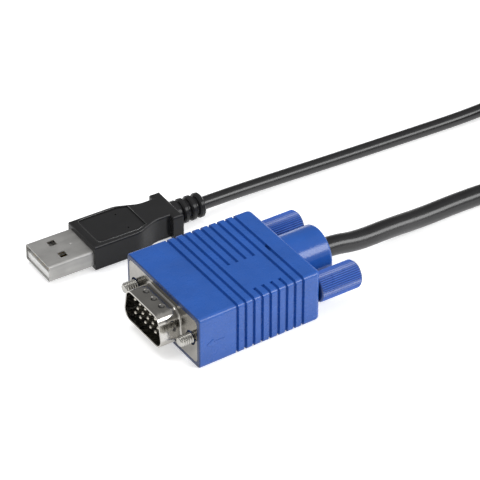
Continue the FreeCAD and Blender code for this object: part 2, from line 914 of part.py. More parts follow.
def round_coil(prefix, entry, leave):
    """Turns wound two wide and two high: a ring with the cord's two ends leaving it.

    The ends leave along the tangent at the given directions and headings, in degrees: the first
    lies on the lower layer and the last on the upper one. Gives both end points, each with the
    direction in which its cord goes on.
    """
    diameter = f"{prefix}_cord_diameter"
    middle = f"{prefix}_coil_radius"
    spot = (f"{prefix}_coil_place", f"{prefix}_coil_side", "coil_lift - axis_height")
    outer = post(f"{prefix}_coil_outer", f"2 * ({middle} + {diameter})", f"2 * {diameter}", *spot)
    inner = post(f"{prefix}_coil_inner", f"2 * ({middle} - {diameter})", f"2 * {diameter}", *spot)
    tube = cut(f"{prefix}_coil_tube", outer, inner)
    cord_radius = size(diameter) / 2
    ring = rounded(f"{prefix}_coil_ring", tube, 0.7 * cord_radius, lambda edge: edge.Closed, "Chamfer")
    centre = vector(size(f"{prefix}_coil_place"), size(f"{prefix}_coil_side"), 0)
    strand = size(middle) + cord_radius
    clear = math.sqrt((size(middle) + size(diameter)) ** 2 - size(middle) ** 2) + 0.5
    ends = []
    stubs = []
    for layer, (angle, heading) in enumerate((entry, leave)):
        spoke = vector(math.cos(math.radians(angle)), math.sin(math.radians(angle)), 0)
        touch = centre + spoke * strand
        touch.z = size("coil_lift") - size("axis_height") + (2 * layer + 1) * cord_radius
        way = vector(math.cos(math.radians(heading)), math.sin(math.radians(heading)), 0)
        stub = doc.addObject("Part::Feature", f"{prefix}_coil_end_{layer}")
        stub.Shape = Part.makeCylinder(cord_radius, clear, touch, way)
        stubs.append(stub)
        ends.append((touch + way * clear, way))
    label = f"{prefix}_cord_coil"
    node(label, join(label, ring, *stubs))
    return ends


def tie(prefix, angle):
    """A flat strap round the coil's turns, standing across them."""
    name = f"{prefix}_coil_tie"
    inner_height = f"2 * {prefix}_cord_diameter"
    inner_width = f"{inner_height} + 2 * tie_clearance"
    outer_width = f"{inner_width} + 2 * tie_thickness"
    block = box(f"{name}_block", "tie_length", outer_width, f"{inner_height} + 2 * tie_thickness")
    outer = rounded(f"{name}_outer", block, size("tie_thickness"), lambda edge: runs_along(edge, (1, 0, 0)))
    inner = box(f"{name}_inner", "tie_length", inner_width, inner_height)
    band = cut(name, outer, inner)
    band.Placement = FreeCAD.Placement(vector(), FreeCAD.Rotation(vector(0, 0, 1), angle - 90))
    x, y = math.cos(math.radians(angle)), math.sin(math.radians(angle))
    place(
        band,
        f"{prefix}_coil_place + {prefix}_coil_radius * {x:.5f} - tie_length / 2 * {y:.5f}",
        f"{prefix}_coil_side + {prefix}_coil_radius * {y:.5f} + tie_length / 2 * {x:.5f}",
        f"coil_lift + {prefix}_cord_diameter - axis_height",
    )
    node(name, band)


def gland_seat(sign):
    """Where a cord ends in its gland, level with the inside of the box's wall."""
    return vector(
        size("case_place") + size("case_wall"),
        size("case_side") + sign * (size("case_width") / 2 - size("gland_inset")),
        size("foot_height") - size("axis_height") + size("case_lower_height"),
    )


def vga_lead():
    thick = size("vga_cord_diameter")
    entry = size("vga_coil_entry")
    (first, back), (last, onward) = round_coil("vga", (entry, entry - 90), (-90, 0))
    inside = vector(
        2 * size("flange_thickness")
        + size("back_shell_length")
        + size("inner_mould_length")
        + size("inner_neck_length"),
        0,
        size("sleeve_rise"),
    )
    cord("vga_cord_lead", [inside] + ground(VGA_LEAD_ROUTE) + [first + back * 16.5, first], thick)
    seat = gland_seat(-1)
    mouth = seat - vector(22, 0, 0)
    cord("vga_cord_tail", [last, last + onward * 14] + ground(VGA_TAIL_ROUTE) + [mouth, seat], thick)
    tie("vga", 60)


def usb_lead():
    thick = size("usb_cord_diameter")
    (first, back), (last, onward) = round_coil("usb", (90, 180), (90, 0))
    turn = -math.radians(size("usb_turn"))
    axis = vector(math.cos(turn), math.sin(turn), 0)
    tip_up = size("usb_mould_height") / 2 - size("axis_height")
    tip = vector(size("usb_tip_offset"), size("usb_side_offset"), tip_up)
    inside = tip + axis * (size("usb_shell_reach") + size("usb_shell_grip") + size("usb_core_length"))
    route = [inside, inside + axis * 23] + ground(USB_LEAD_ROUTE) + [first + back * 17, first]
    cord("usb_cord_lead", route, thick)
    seat = gland_seat(1)
    mouth = seat - vector(15, 0, 0)
    cord("usb_cord_tail", [last, last + onward * 8, mouth, seat], thick)
    tie("usb", -90)


# Adapter box


CASE_BASE = "(foot_height - axis_height)"
CASE_MIDDLE = "(case_place + case_length / 2)"
CASE_JOINT = f"({CASE_BASE} + case_lower_height)"


def case_corners(inset):
    """The four places at one inset from the box's corners."""
    for number, (sx, sy) in enumerate(((-1, -1), (-1, 1), (1, -1), (1, 1)), start=1):
        yield (
            number,
            f"{CASE_MIDDLE} + {sx} * (case_length / 2 - {inset})",
            f"case_side + {sy} * (case_width / 2 - {inset})",
        )


def case_block(name, inset):
    """The box's rounded outer form, drawn in by inset."""
    block = box(
        f"{name}_block",
        f"case_length - 2 * {inset}",
        f"case_width - 2 * {inset}",
        f"case_height - 2 * {inset}",
        f"case_place + {inset}",
        "case_side",
        f"{CASE_BASE} + case_height / 2",
    )
    drawn_in = size(inset) if inset in SIZES else 0.0
    upright = rounded(
        f"{name}_upright",
        block,
        size("case_corner_radius") - drawn_in,
        lambda edge: runs_along(edge, (0, 0, 1)),
    )
    if drawn_in:
        return upright
    return rounded(
        name, upright, size("case_edge_radius"), lambda edge: edge.BoundBox.ZLength < 1e-6
    )


def case_layer(name, low, high):
    """A slab across the whole box between two heights."""
    height = f"({high}) - ({low})"
    return box(
        name,
        "2 * case_length",
        "2 * case_width",
        height,
        "case_place - case_length / 2",
        "case_side",
        f"({low}) + ({height}) / 2",
    )


def gland_rods(name, wall):
    """Bores in the box's cord end for both glands."""
    return group(
        name,
        [
            rod(
                f"{name}_{cord_name}",
                f"{cord_name}_cord_diameter + 2 * {wall}",
                "3 * case_wall",
                "case_place - case_wall",
                f"case_side + {sign} * (case_width / 2 - gland_inset)",
                CASE_JOINT,
            )
            for cord_name, sign in (("usb", 1), ("vga", -1))
        ],
    )


def board_height():
    return f"{CASE_BASE} + case_wall + board_seat"


def case_shells():
    boss_floor = f"{CASE_BASE} + case_wall / 2"
    lower_bosses = [
        post(f"lower_boss_{n}", "boss_diameter", "case_wall / 2 + board_seat", x, y, boss_floor)
        for n, x, y in case_corners("boss_inset")
    ]
    upper_bosses = [
        post(
            f"upper_boss_{n}",
            "boss_diameter",
            "case_height - 1.5 * case_wall - board_seat - board_thickness",
            x,
            y,
            f"{board_height()} + board_thickness",
        )
        for n, x, y in case_corners("boss_inset")
    ]
    shanks = [
        post(f"screw_room_{n}", "case_screw_diameter", "case_screw_length", x, y, CASE_BASE)
        for n, x, y in case_corners("boss_inset")
    ]
    heads = [
        post(f"head_room_{n}", "case_screw_head", "case_screw_head_height", x, y, CASE_BASE)
        for n, x, y in case_corners("boss_inset")
    ]
    socket_room = box(
        "socket_room",
        "4 * case_wall",
        "socket_width + 4 * fit",
        "socket_height + 4 * fit",
        "case_place + case_length - 2 * case_wall",
        "case_side",
        f"{board_height()} + board_thickness + socket_height / 2",
    )
    shell = cut("case_hollow", case_block("case_outer", "0"), case_block("case_room", "case_wall"))
    lower_layer = case_layer("case_lower_layer", f"{CASE_BASE} - case_wall", CASE_JOINT)
    upper_layer = case_layer(
        "case_upper_layer", f"{CASE_JOINT} + case_joint_gap", f"{CASE_BASE} + case_height + case_wall"
    )
    lower = shared("case_lower_half", shell, lower_layer)
    upper = shared("case_upper_half", shell, upper_layer)
    rooms = (group("screw_rooms", shanks), group("head_rooms", heads))
    glands = gland_rods("gland_holes", "gland_neck_wall")
    lower_solid = join("case_lower_solid", lower, *lower_bosses)
    upper_solid = join("case_upper_solid", upper, *upper_bosses)
    node("case_lower_shell", cut("case_lower_shell", lower_solid, *rooms, glands, socket_room))
    node("case_upper_shell", cut("case_upper_shell", upper_solid, rooms[0], glands, socket_room))


def case_screws():
    screws = [
        join(
            f"case_screw_{n}",
            post(f"case_screw_head_{n}", "case_screw_head", "case_screw_head_height", x, y, CASE_BASE),
            post(f"case_screw_shank_{n}", "case_screw_diameter", "case_screw_length", x, y, CASE_BASE),
        )
        for n, x, y in case_corners("boss_inset")
    ]
    node("case_screws", group("case_screws", screws))


def feet():
    pads = [
        post(f"foot_{n}", "foot_diameter", "foot_height", x, y, "-axis_height")
        for n, x, y in case_corners("foot_inset")
    ]
    node("rubber_feet", group("rubber_feet", pads))


def board():
    margin = "(case_wall + board_margin)"
    slab = box(
        "board_slab",
        f"case_length - 2 * {margin} - 4 * case_wall",
        f"case_width - 2 * {margin}",
        "board_thickness",
        f"case_place + {margin} + 4 * case_wall",
        "case_side",
        f"{board_height()} + board_thickness / 2",
    )
    holes = group(
        "board_holes",
        [
            post(
                f"board_hole_{n}",
                "case_screw_diameter + 4 * fit",
                "3 * board_thickness",
                x,
                y,
                f"{board_height()} - board_thickness",
            )
            for n, x, y in case_corners("boss_inset")
        ],
    )
    node("circuit_board", cut("circuit_board", slab, holes))
    top = f"{board_height()} + board_thickness"
    chips = [
        box(
            "main_chip",
            "chip_size",
            "chip_size",
            "chip_height",
            f"{CASE_MIDDLE} - chip_size / 2",
            "case_side + chip_size / 2",
            f"{top} + chip_height / 2",
        ),
        box(
            "second_chip",
            "small_chip_size",
            "small_chip_size",
            "chip_height",
            f"{CASE_MIDDLE} - chip_size / 2",
            "case_side - chip_size",
            f"{top} + chip_height / 2",
        ),
    ]
    node("board_chips", group("board_chips", chips))
    mouth = "case_place + case_length - socket_length"
    can = box(
        "socket_can",
        "socket_length",
        "socket_width",
        "socket_height",
        mouth,
        "case_side",
        f"{top} + socket_height / 2",
    )
    hollow = box(
        "socket_hollow",
        "socket_length",
        "socket_width - 2 * socket_wall",
        "socket_height - 2 * socket_wall",
        f"{mouth} + 2 * socket_wall",
        "case_side",
        f"{top} + socket_height / 2",
    )
    node("mini_usb_socket", cut("mini_usb_socket", can, hollow))


def gland(cord_name, sign):
    """A moulded strain relief with a groove that the box's wall sits in."""
    core = f"{cord_name}_cord_diameter / 2"
    bore = f"{core} + fit"
    wire_bore = f"0.6 * {core}"
    tip = "case_place - gland_boot_length"
    inside = "case_place + case_wall"
    body = turned(
        f"{cord_name}_cord_gland",
        [
            (tip, bore),
            (tip, f"{core} + gland_tip_wall"),
            ("case_place", f"{core} + gland_root_wall"),
            ("case_place", f"{core} + gland_neck_wall"),
            (inside, f"{core} + gland_neck_wall"),
            (inside, f"{core} + gland_flange_wall"),
            (f"{inside} + gland_flange_length", f"{core} + gland_flange_wall"),
            (f"{inside} + gland_flange_length", wire_bore),
            (inside, wire_bore),
            (inside, bore),
        ],
    )
    place(body, "0", f"case_side + {sign} * (case_width / 2 - gland_inset)", CASE_JOINT)
    node(f"{cord_name}_cord_gland", body)


def write_parts():
    """Checks every object, then writes each sub-part."""
    doc.recompute()
    for item in doc.Objects:
        if "Invalid" in item.State or "Error" in item.State:
            raise RuntimeError(f"{item.Label} failed: {item.State}")
    for item in nodes:
        if item.Shape.isNull() or not item.Shape.isValid() or not item.Shape.Solids:
            raise RuntimeError(f"{item.Label} has no valid solid")
    os.makedirs("parts", exist_ok=True)
    for item in nodes:
        item.Shape.exportStep(f"parts/{item.Label}.step")
        print(f"{item.Label}: {len(item.Shape.Solids)} solids, {item.Shape.Volume:.1f} mm3")


hood()
front_shell()
back_shell()
insulator_and_pins()
inner_mould()
thumbscrew("left", 1)
thumbscrew("right", -1)
usb_shell()
usb_insides()
usb_overmould()
vga_lead()
usb_lead()
case_shells()
case_screws()
feet()
board()
gland("usb", 1)
gland("vga", -1)
write_parts()
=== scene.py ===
import math
from collections import namedtuple

import bmesh
import bpy
from mathutils import Matrix, Vector


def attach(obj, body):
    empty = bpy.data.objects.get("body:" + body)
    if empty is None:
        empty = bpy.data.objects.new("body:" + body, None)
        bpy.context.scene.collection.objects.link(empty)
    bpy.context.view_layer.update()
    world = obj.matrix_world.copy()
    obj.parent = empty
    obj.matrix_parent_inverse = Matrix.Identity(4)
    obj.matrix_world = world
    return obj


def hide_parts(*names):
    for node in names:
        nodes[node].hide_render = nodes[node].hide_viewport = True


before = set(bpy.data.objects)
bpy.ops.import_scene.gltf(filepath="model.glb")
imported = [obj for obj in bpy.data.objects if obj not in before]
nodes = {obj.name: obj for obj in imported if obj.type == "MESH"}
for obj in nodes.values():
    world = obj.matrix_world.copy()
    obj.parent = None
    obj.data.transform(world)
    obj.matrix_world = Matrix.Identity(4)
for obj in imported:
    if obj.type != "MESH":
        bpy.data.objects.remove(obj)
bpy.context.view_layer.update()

# Units, in metres

MM = 0.001
MICRON = 0.000001

# Surface that everything lies on and video plug, in millimetres from the middle of the plug's jackscrews

FLOOR = -7.2
SCREW_SIDE = 12.495
# Span of X over which the hood's front rim goes from painted shade to its own colour
FRONT_RIM_SHADE_SPAN = (0.02, 0.3)
SLEEVE_START = (35.0, 35.6)
# Span of X at the shroud's root over which the plating goes from painted light on the shroud to painted
# shade on the flange
SHROUD_LIGHT_AND_SHADE_SPAN = (-1.3, -0.7)
# Dimples on the shroud's top, whose dark colour is painted shade
DIMPLE_ALONG = -2.4
DIMPLE_SIDES = (-3.5, 0.0, 3.5)
DIMPLE_UP = 4.3
DIMPLE_CORE = 0.7
DIMPLE_EDGE = 1.0
# Radii of the knurl's valleys and crests, across which its colour goes from painted shade to painted light
KNURL_FLOOR = 3.42
KNURL_CREST = 3.62

HOOD_SIDE = 16.35
HOOD_TAPER = 0.02
ARROW_TIP = 2.0
ARROW_NECK = 3.9
ARROW_TAIL = 7.2
ARROW_HEAD = 1.25
ARROW_BAR = 0.35
ARROW_DROP = 0.85
ARROW_LAYERS = ((-0.05, 1.0), (0.07, 1.0), (0.12, 0.88))

SCREW_TIP = -3.4
SCREW_TIP_RADIUS = 1.02
SCREW_TIP_SLOPE = 0.8
SCREW_SECTORS = 32
THREAD_PITCH = 0.635
THREAD_STEPS = 10
THREAD_ROOT = 1.1
THREAD_DEPTH = 0.32
CREST_FLAT = 1.25
SHANK_START = 0.001
SHANK_END = 43.8
SHANK_RADIUS = 1.2

# USB plug: its tip, its turn about the vertical, and the bead on its grip, from the tip and the surface

USB_TIP = (-13.1, 37.6)
USB_TURN = math.radians(-1.0)
BEAD_FRONT = 14.3
BEAD_MIDDLE = 20.0
BEAD_SHOULDER = 25.6
BEAD_REAR = 28.4
BEAD_SIDE = 5.6
BEAD_REAR_SIDE = 4.72
BEAD_CORNER = 1.1
BEAD_UP = 7.37
BEAD_RADIUS = 0.17

# Coiled leads, by the middle of their turns and the lead's own diameter, and their straps

Coil = namedtuple("Coil", "centre radius diameter")
VGA_COIL = Coil((158, 5), 27, 5.2)
USB_COIL = Coil((213, 20.25), 19, 3.5)
COIL_LIFT = 0.75
COIL_STEP = 15.0
STRAP_THICKNESS = 0.6
STRAP_HALF_WIDTH = 2.5
STRAP_TIP_HALF_WIDTH = 0.35
STRAP_EDGE = 0.15
STRAP_CLEARANCE = 0.05
LAP_CLEARANCE = 0.03
LAP_END = 0.72
LEG_STEPS = 14


# Materials


def opened(mat):
    """A material's node tree, its surface shader and object-space coordinates."""
    tree = mat.node_tree
    where = tree.nodes.new("ShaderNodeTexCoord").outputs["Object"]
    return tree, tree.nodes["Principled BSDF"], where


def shader(name, color, roughness, metallic=0.0, coat=0.0, specular=0.5):
    """A new material with its node tree, its surface shader and object-space coordinates."""
    mat = bpy.data.materials.new(name)
    mat.use_nodes = True
    tree, surface, where = opened(mat)
    surface.inputs["Base Color"].default_value = (*color, 1.0)
    surface.inputs["Roughness"].default_value = roughness
    surface.inputs["Metallic"].default_value = metallic
    surface.inputs["Coat Weight"].default_value = coat
    surface.inputs["Specular IOR Level"].default_value = specular
    return mat, tree, surface, where


def noise(tree, where, scale, detail=2.0, stretch=None):
    """Noise in object space, stretched along an axis where stretch gives three factors."""
    node = tree.nodes.new("ShaderNodeTexNoise")
    node.inputs["Scale"].default_value = scale
    node.inputs["Detail"].default_value = detail
    if stretch:
        mapping = tree.nodes.new("ShaderNodeMapping")
        mapping.inputs["Scale"].default_value = stretch
        tree.links.new(where, mapping.inputs["Vector"])
        where = mapping.outputs["Vector"]
    tree.links.new(where, node.inputs["Vector"])
    return node.outputs["Fac"]


def ramp(tree, value, *stops):
    """A colour ramp over value between two stops, each a position and a colour."""
    node = tree.nodes.new("ShaderNodeValToRGB")
    for element, (position, color) in zip(node.color_ramp.elements, stops):
        element.position = position
        element.color = (*color, 1.0)
    tree.links.new(value, node.inputs["Fac"])
    return node.outputs["Color"]


def remap(tree, value, span, low=0.0, high=1.0, interpolation="LINEAR"):
    """Goes from low to high while value crosses a span."""
    node = tree.nodes.new("ShaderNodeMapRange")
    node.interpolation_type = interpolation
    node.inputs["From Min"].default_value = span[0]
    node.inputs["From Max"].default_value = span[1]
    node.inputs["To Min"].default_value = low
    node.inputs["To Max"].default_value = high
    tree.links.new(value, node.inputs["Value"])
    return node.outputs["Result"]


def spread(tree, value, low, high):
    """Maps noise, which lies mostly between 0.3 and 0.7, to a range."""
    return remap(tree, value, (0.3, 0.7), low, high)


def along_x(tree, where, span, low, high):
    """Goes from low to high over a span of the X axis, in millimetres."""
    split = tree.nodes.new("ShaderNodeSeparateXYZ")
    tree.links.new(where, split.inputs[0])
    return remap(tree, split.outputs["X"], [place * MM for place in span], low, high)


def combine(tree, operation, first, second):
    """One number made from two."""
    node = tree.nodes.new("ShaderNodeMath")
    node.operation = operation
    tree.links.new(first, node.inputs[0])
    tree.links.new(second, node.inputs[1])
    return node.outputs[0]


def source(socket):
    """What feeds a socket now."""
    return socket.links[0].from_socket


def dim(tree, surface, factor):
    """Multiplies the surface's colour by a factor that differs from place to place, which paints light and
    shade into it.
    """
    node = tree.nodes.new("ShaderNodeVectorMath")
    node.operation = "SCALE"
    tree.links.new(source(surface.inputs["Base Color"]), node.inputs[0])
    tree.links.new(factor, node.inputs["Scale"])
    tree.links.new(node.outputs["Vector"], surface.inputs["Base Color"])


def bump(tree, surface, height, depth):
    """Gives the surface relief of a depth in metres."""
    node = tree.nodes.new("ShaderNodeBump")
    node.inputs["Distance"].default_value = depth
    tree.links.new(height, node.inputs["Height"])
    tree.links.new(node.outputs["Normal"], surface.inputs["Normal"])


def tinted(color, factor):
    return tuple(min(1.0, part * factor) for part in color)


def moulded(name, color, roughness, grain=5000.0, relief=12 * MICRON, vary=0.08, coat=0.0, specular=0.5):
    """Injection-moulded plastic: a fine spark texture, slow colour drift and uneven gloss."""
    mat, tree, surface, where = shader(name, color, roughness, coat=coat, specular=specular)
    drift = noise(tree, where, scale=130.0, detail=3.0)
    drifting = ramp(tree, drift, (0.3, tinted(color, 1.0 - vary)), (0.7, tinted(color, 1.0 + vary)))
    tree.links.new(drifting, surface.inputs["Base Color"])
    patch = noise(tree, where, scale=420.0, detail=4.0)
    tree.links.new(spread(tree, patch, roughness - 0.06, roughness + 0.06), surface.inputs["Roughness"])
    bump(tree, surface, noise(tree, where, grain), relief)
    return mat


def plated(name, color, roughness, brushed):
    """Plated sheet metal: fine rolling lines and a little haze."""
    mat, tree, surface, where = shader(name, color, roughness, metallic=1.0)
    haze = noise(tree, where, scale=260.0, detail=4.0)
    hazy = ramp(tree, haze, (0.35, tinted(color, 0.86)), (0.65, color))
    tree.links.new(hazy, surface.inputs["Base Color"])
    lines = noise(tree, where, scale=1500.0, stretch=brushed)
    tree.links.new(spread(tree, lines, roughness - 0.07, roughness + 0.09), surface.inputs["Roughness"])
    bump(tree, surface, lines, 4 * MICRON)
    return mat


def dimpled(name, color, roughness, brushed):
    """Plated sheet with painted shade on the flange and painted light on the shroud, and dull with painted
    shade in the dimples on the shroud's top.
    """
    mat = plated(name, color, roughness, brushed)
    tree, surface, where = opened(mat)
    nearest = None
    for across in DIMPLE_SIDES:
        gap = tree.nodes.new("ShaderNodeVectorMath")
        gap.operation = "DISTANCE"
        gap.inputs[1].default_value = (DIMPLE_ALONG * MM, across * MM, DIMPLE_UP * MM)
        tree.links.new(where, gap.inputs[0])
        reach = gap.outputs["Value"]
        nearest = reach if nearest is None else combine(tree, "MINIMUM", nearest, reach)
    inside = remap(tree, nearest, (DIMPLE_CORE * MM, DIMPLE_EDGE * MM), 1.0, 0.0)
    # Painted shade: the dimples are coloured dark as though in shadow; only their dullness is their own
    dark = (0.09, 0.088, 0.084, 1.0)
    dull = 0.5
    for label, kind, value in (("Base Color", "RGBA", dark), ("Roughness", "FLOAT", dull)):
        mix = tree.nodes.new("ShaderNodeMix")
        mix.data_type = kind
        mix.inputs["B"].default_value = value
        tree.links.new(inside, mix.inputs["Factor"])
        tree.links.new(source(surface.inputs[label]), mix.inputs["A"])
        tree.links.new(mix.outputs["Result"], surface.inputs[label])
    # Painted light and shade: the shroud is painted a little lighter and the flange behind it darker
    dim(tree, surface, along_x(tree, where, SHROUD_LIGHT_AND_SHADE_SPAN, low=1.1, high=0.76))
    return mat


def jacket(name, color, roughness):
    """Extruded cord jacket: faint patches of gloss and a fine skin."""
    mat, tree, surface, where = shader(name, color, roughness)
    patch = noise(tree, where, scale=320.0, detail=3.0)
    patchy = ramp(tree, patch, (0.35, color), (0.7, tinted(color, 1.25)))
    tree.links.new(patchy, surface.inputs["Base Color"])
    tree.links.new(spread(tree, patch, roughness - 0.02, roughness + 0.03), surface.inputs["Roughness"])
    bump(tree, surface, noise(tree, where, scale=3800.0), 4 * MICRON)
    return mat


def knurled(name, color, roughness, across):
    """Moulded plastic on a knob whose axis lies at a distance across, with painted shade between its
    ridges and a little painted light on them.
    """
    mat = moulded(name, color, roughness, grain=4200.0)
    tree, surface, where = opened(mat)
    spoke = tree.nodes.new("ShaderNodeVectorMath")
    spoke.operation = "MULTIPLY_ADD"
    spoke.inputs[1].default_value = (0, 1, 1)
    spoke.inputs[2].default_value = (0, -across * MM, 0)
    tree.links.new(where, spoke.inputs[0])
    reach = tree.nodes.new("ShaderNodeVectorMath")
    reach.operation = "LENGTH"
    tree.links.new(spoke.outputs["Vector"], reach.inputs[0])
    ridge = remap(tree, reach.outputs["Value"], (KNURL_FLOOR * MM, KNURL_CREST * MM))
    # Painted shade in the knurl's valleys, down to 0.4 of the colour, and painted light on its ridges,
    # 1.05 of it
    knurl_light_and_shade = tree.nodes.new("ShaderNodeMix")
    knurl_light_and_shade.data_type = "RGBA"
    knurl_light_and_shade.blend_type = "MULTIPLY"
    knurl_light_and_shade.inputs["Factor"].default_value = 1.0
    tree.links.new(source(surface.inputs["Base Color"]), knurl_light_and_shade.inputs["A"])
    tree.links.new(ramp(tree, ridge, (0.0, (0.4, 0.4, 0.4)), (0.8, (1.05, 1.05, 1.05))), knurl_light_and_shade.inputs["B"])
    tree.links.new(knurl_light_and_shade.outputs["Result"], surface.inputs["Base Color"])
    return mat


def hooded(name, color, roughness):
    """Moulded plastic on the video plug, glossier on the round sleeve, with painted shade on the front
    rim.
    """
    mat = moulded(name, color, roughness, grain=4200.0, relief=4 * MICRON)
    tree, surface, where = opened(mat)
    polish = along_x(tree, where, SLEEVE_START, low=0.0, high=-0.08)
    satin = combine(tree, "ADD", source(surface.inputs["Roughness"]), polish)
    tree.links.new(satin, surface.inputs["Roughness"])
    # Painted shade: the front rim, which faces away from the light, is darkened to 0.3 of its colour
    dim(tree, surface, along_x(tree, where, FRONT_RIM_SHADE_SPAN, low=0.3, high=1.0))
    return mat


def woven(name, color):
    """A hook-and-loop strap's napped surface."""
    mat, tree, surface, where = shader(name, color, roughness=0.95, specular=0.2)
    surface.inputs["Sheen Weight"].default_value = 0.4
    nap = noise(tree, where, scale=2600.0, detail=4.0)
    tree.links.new(ramp(tree, nap, (0.35, color), (0.7, tinted(color, 2.2))), surface.inputs["Base Color"])
    bump(tree, surface, nap, 150 * MICRON)
    return mat


KNOB_BLUE = (0.034, 0.105, 0.42)
GRIP_BLACK = (0.02, 0.02, 0.0205)
ROLLED_ACROSS = (1.0, 0.06, 1.0)
ROLLED_ALONG = (0.06, 1.0, 1.0)
DRAWN_ALONG = (0.1, 1.0, 1.0)
TURNED = (1.0, 0.2, 0.2)

hood_blue = hooded("hood_blue", (0.017, 0.086, 0.358), 0.28)
left_knob_blue = knurled("left_knob_blue", KNOB_BLUE, 0.32, SCREW_SIDE)
right_knob_blue = knurled("right_knob_blue", KNOB_BLUE, 0.32, -SCREW_SIDE)
front_nickel = dimpled("front_nickel", (0.46, 0.445, 0.415), 0.13, ROLLED_ACROSS)
nickel = plated("nickel", (0.48, 0.465, 0.43), 0.17, ROLLED_ACROSS)
usb_nickel = plated("usb_nickel", (0.43, 0.425, 0.412), 0.54, ROLLED_ALONG)
screw_steel = plated("screw_steel", (0.45, 0.44, 0.41), 0.2, TURNED)
pin_metal = plated("pin_metal", (0.6, 0.57, 0.5), 0.3, DRAWN_ALONG)
contact_gold = plated("contact_gold", (0.85, 0.62, 0.25), 0.22, DRAWN_ALONG)
insulator_black = moulded("insulator_black", (0.006, 0.006, 0.0065), 0.5)
tongue_white = moulded("tongue_white", (0.9, 0.9, 0.88), 0.45, vary=0.03)
inner_mould = moulded("inner_mould", (0.62, 0.62, 0.58), 0.45, vary=0.04)
plug_black = moulded("plug_black", GRIP_BLACK, 0.17, grain=5200.0, relief=2 * MICRON, specular=0.17)
bead_black = moulded("bead_black", GRIP_BLACK, 0.2, grain=5200.0, relief=2 * MICRON, specular=0.8)
cord_black = jacket("cord_black", (0.008, 0.008, 0.0085), 0.25)
tie_black = woven("tie_black", (0.012, 0.012, 0.013))
case_black = moulded("case_black", (0.014, 0.014, 0.015), 0.6, grain=3200.0, specular=0.3)
board_green = moulded("board_green", (0.012, 0.11, 0.045), 0.3, coat=0.3)
chip_black = moulded("chip_black", (0.02, 0.02, 0.021), 0.55)
foot_rubber = moulded("foot_rubber", (0.03, 0.03, 0.03), 0.75)

FINISHES = {
    "vga_hood": hood_blue,
    "left_thumbscrew_knob": left_knob_blue,
    "right_thumbscrew_knob": right_knob_blue,
    "vga_front_shell": front_nickel,
    "vga_back_shell": nickel,
    "vga_insulator": insulator_black,
    "vga_pins": pin_metal,
    "vga_inner_mould": inner_mould,
    "usb_shell": usb_nickel,
    "usb_tongue": tongue_white,
    "usb_contacts": contact_gold,
    "usb_inner_mould": inner_mould,
    "usb_overmould": plug_black,
    "case_lower_shell": case_black,
    "case_upper_shell": case_black,
    "case_screws": screw_steel,
    "rubber_feet": foot_rubber,
    "circuit_board": board_green,
    "board_chips": chip_black,
    "mini_usb_socket": nickel,
    "usb_cord_gland": plug_black,
    "vga_cord_gland": plug_black,
}
for name, mat in FINISHES.items():
    nodes[name].data.materials.clear()
    nodes[name].data.materials.append(mat)


# Pieces beside the solids: threaded screws, the hood's arrow, the USB grip's bead and the coils' straps


def add_piece(name, data, body, mat):
    """A new piece with one finish that rides on a body."""
    piece = bpy.data.objects.new(name, data)
    bpy.context.scene.collection.objects.link(piece)
    data.materials.append(mat)
    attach(piece, body)
    return piece


def skinned(name, rings, smooth):
    """A closed mesh over rings of points in millimetres, with a flat face at each end."""
    form = bmesh.new()
    layers = [[form.verts.new(Vector(point) * MM) for point in ring] for ring in rings]
    for near, far in zip(layers, layers[1:]):
        for i in range(len(near)):
            j = (i + 1) % len(near)
            form.faces.new((near[i], near[j], far[j], far[i])).smooth = smooth
    form.faces.new(layers[0])
    form.faces.new(layers[-1])
    bmesh.ops.recalc_face_normals(form, faces=form.faces)
    mesh = bpy.data.meshes.new(name)
    form.to_mesh(mesh)
    form.free()
    return mesh


def round_bar(name, kind, points, radius):
    """A round bar on a spline whose points are in millimetres above the floor."""
    curve = bpy.data.curves.new(name, "CURVE")
    curve.dimensions = "3D"
    curve.bevel_depth = radius * MM
    spline = curve.splines.new(kind)
    spline.points.add(len(points) - 1)
    for point, (x, y, z) in zip(spline.points, points):
        point.co = (x * MM, y * MM, (z + FLOOR) * MM, 1.0)
    return curve, spline


def thread_radius(along, turn):
    """Radius of the rolled thread, which runs out in a slant at the tip."""
    phase = (along / THREAD_PITCH - turn / (2 * math.pi)) % 1.0
    crest = min(1.0, CREST_FLAT * (1.0 - abs(2.0 * phase - 1.0)))
    slant = SCREW_TIP_RADIUS + SCREW_TIP_SLOPE * (along - SCREW_TIP)
    return min(THREAD_ROOT + THREAD_DEPTH * crest, slant)


def threaded_screw(side, across):
    """A jackscrew, threaded in front of the mating face and plain behind it."""
    step = THREAD_PITCH / THREAD_STEPS
    thread = [SCREW_TIP + step * i for i in range(math.ceil(-SCREW_TIP / step))]
    rings = []
    for along in thread + [0.0, SHANK_START, SHANK_END]:
        ring = []
        for i in range(SCREW_SECTORS):
            turn = 2 * math.pi * i / SCREW_SECTORS
            radius = SHANK_RADIUS if along > 0.0 else thread_radius(along, turn)
            ring.append((along, across + radius * math.cos(turn), radius * math.sin(turn)))
        rings.append(ring)
    mesh = skinned(f"{side}_jackscrew", rings, smooth=True)
    screw = add_piece(f"{side}_jackscrew", mesh, f"{side}_thumbscrew", screw_steel)
    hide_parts(f"{side}_thumbscrew_screw")


def hood_arrow():
    """A raised arrow on the side of the hood that points to the plug's mating face."""
    upper = [(ARROW_NECK, ARROW_HEAD), (ARROW_NECK, ARROW_BAR), (ARROW_TAIL, ARROW_BAR)]
    outline = [(ARROW_TIP, 0.0)] + upper + [(x, -z) for x, z in reversed(upper)]
    middle = (ARROW_TIP + ARROW_TAIL) / 2
    rings = []
    for rise, shrink in ARROW_LAYERS:
        ring = []
        for x, z in outline:
            along = middle + (x - middle) * shrink
            side = HOOD_SIDE - HOOD_TAPER * along + rise
            ring.append((along, -side, z * shrink - ARROW_DROP))
        rings.append(ring)
    add_piece("hood_arrow", skinned("hood_arrow", rings, smooth=False), "root", hood_blue)


